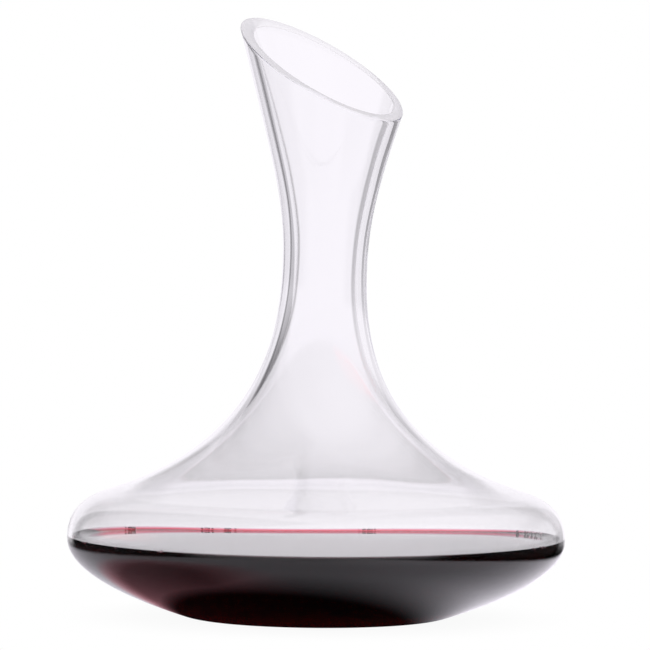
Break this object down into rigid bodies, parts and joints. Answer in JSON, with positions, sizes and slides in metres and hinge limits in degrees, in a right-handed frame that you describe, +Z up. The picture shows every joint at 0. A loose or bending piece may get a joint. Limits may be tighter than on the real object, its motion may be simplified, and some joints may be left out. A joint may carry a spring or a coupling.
{
  "type": "wine decanter",
  "caption": "Clear glass wine decanter with a wide flat bowl, a narrow waisted neck and a slanted flared mouth, filled with red wine to its widest point.",
  "frame": {"origin": "on the axis of the bowl, in the plane of the base that stands on the table", "axes": "+Z up through the neck, +X towards the low side of the slanted mouth, -Y towards the side the mouth faces, so the high pouring lip is at -X +Y"},
  "size_m": [0.218, 0.218, 0.2618],
  "materials": {
    "clear_glass": "clear colourless crystal, fire-polished, smooth and glossy",
    "red_wine": "deep red wine, nearly black in depth and maroon at its thin edge, with a level glossy surface"
  },
  "bodies": {
    "root": {"glass_body": "clear_glass", "wine": "red_wine"}
  },
  "joints": []
}
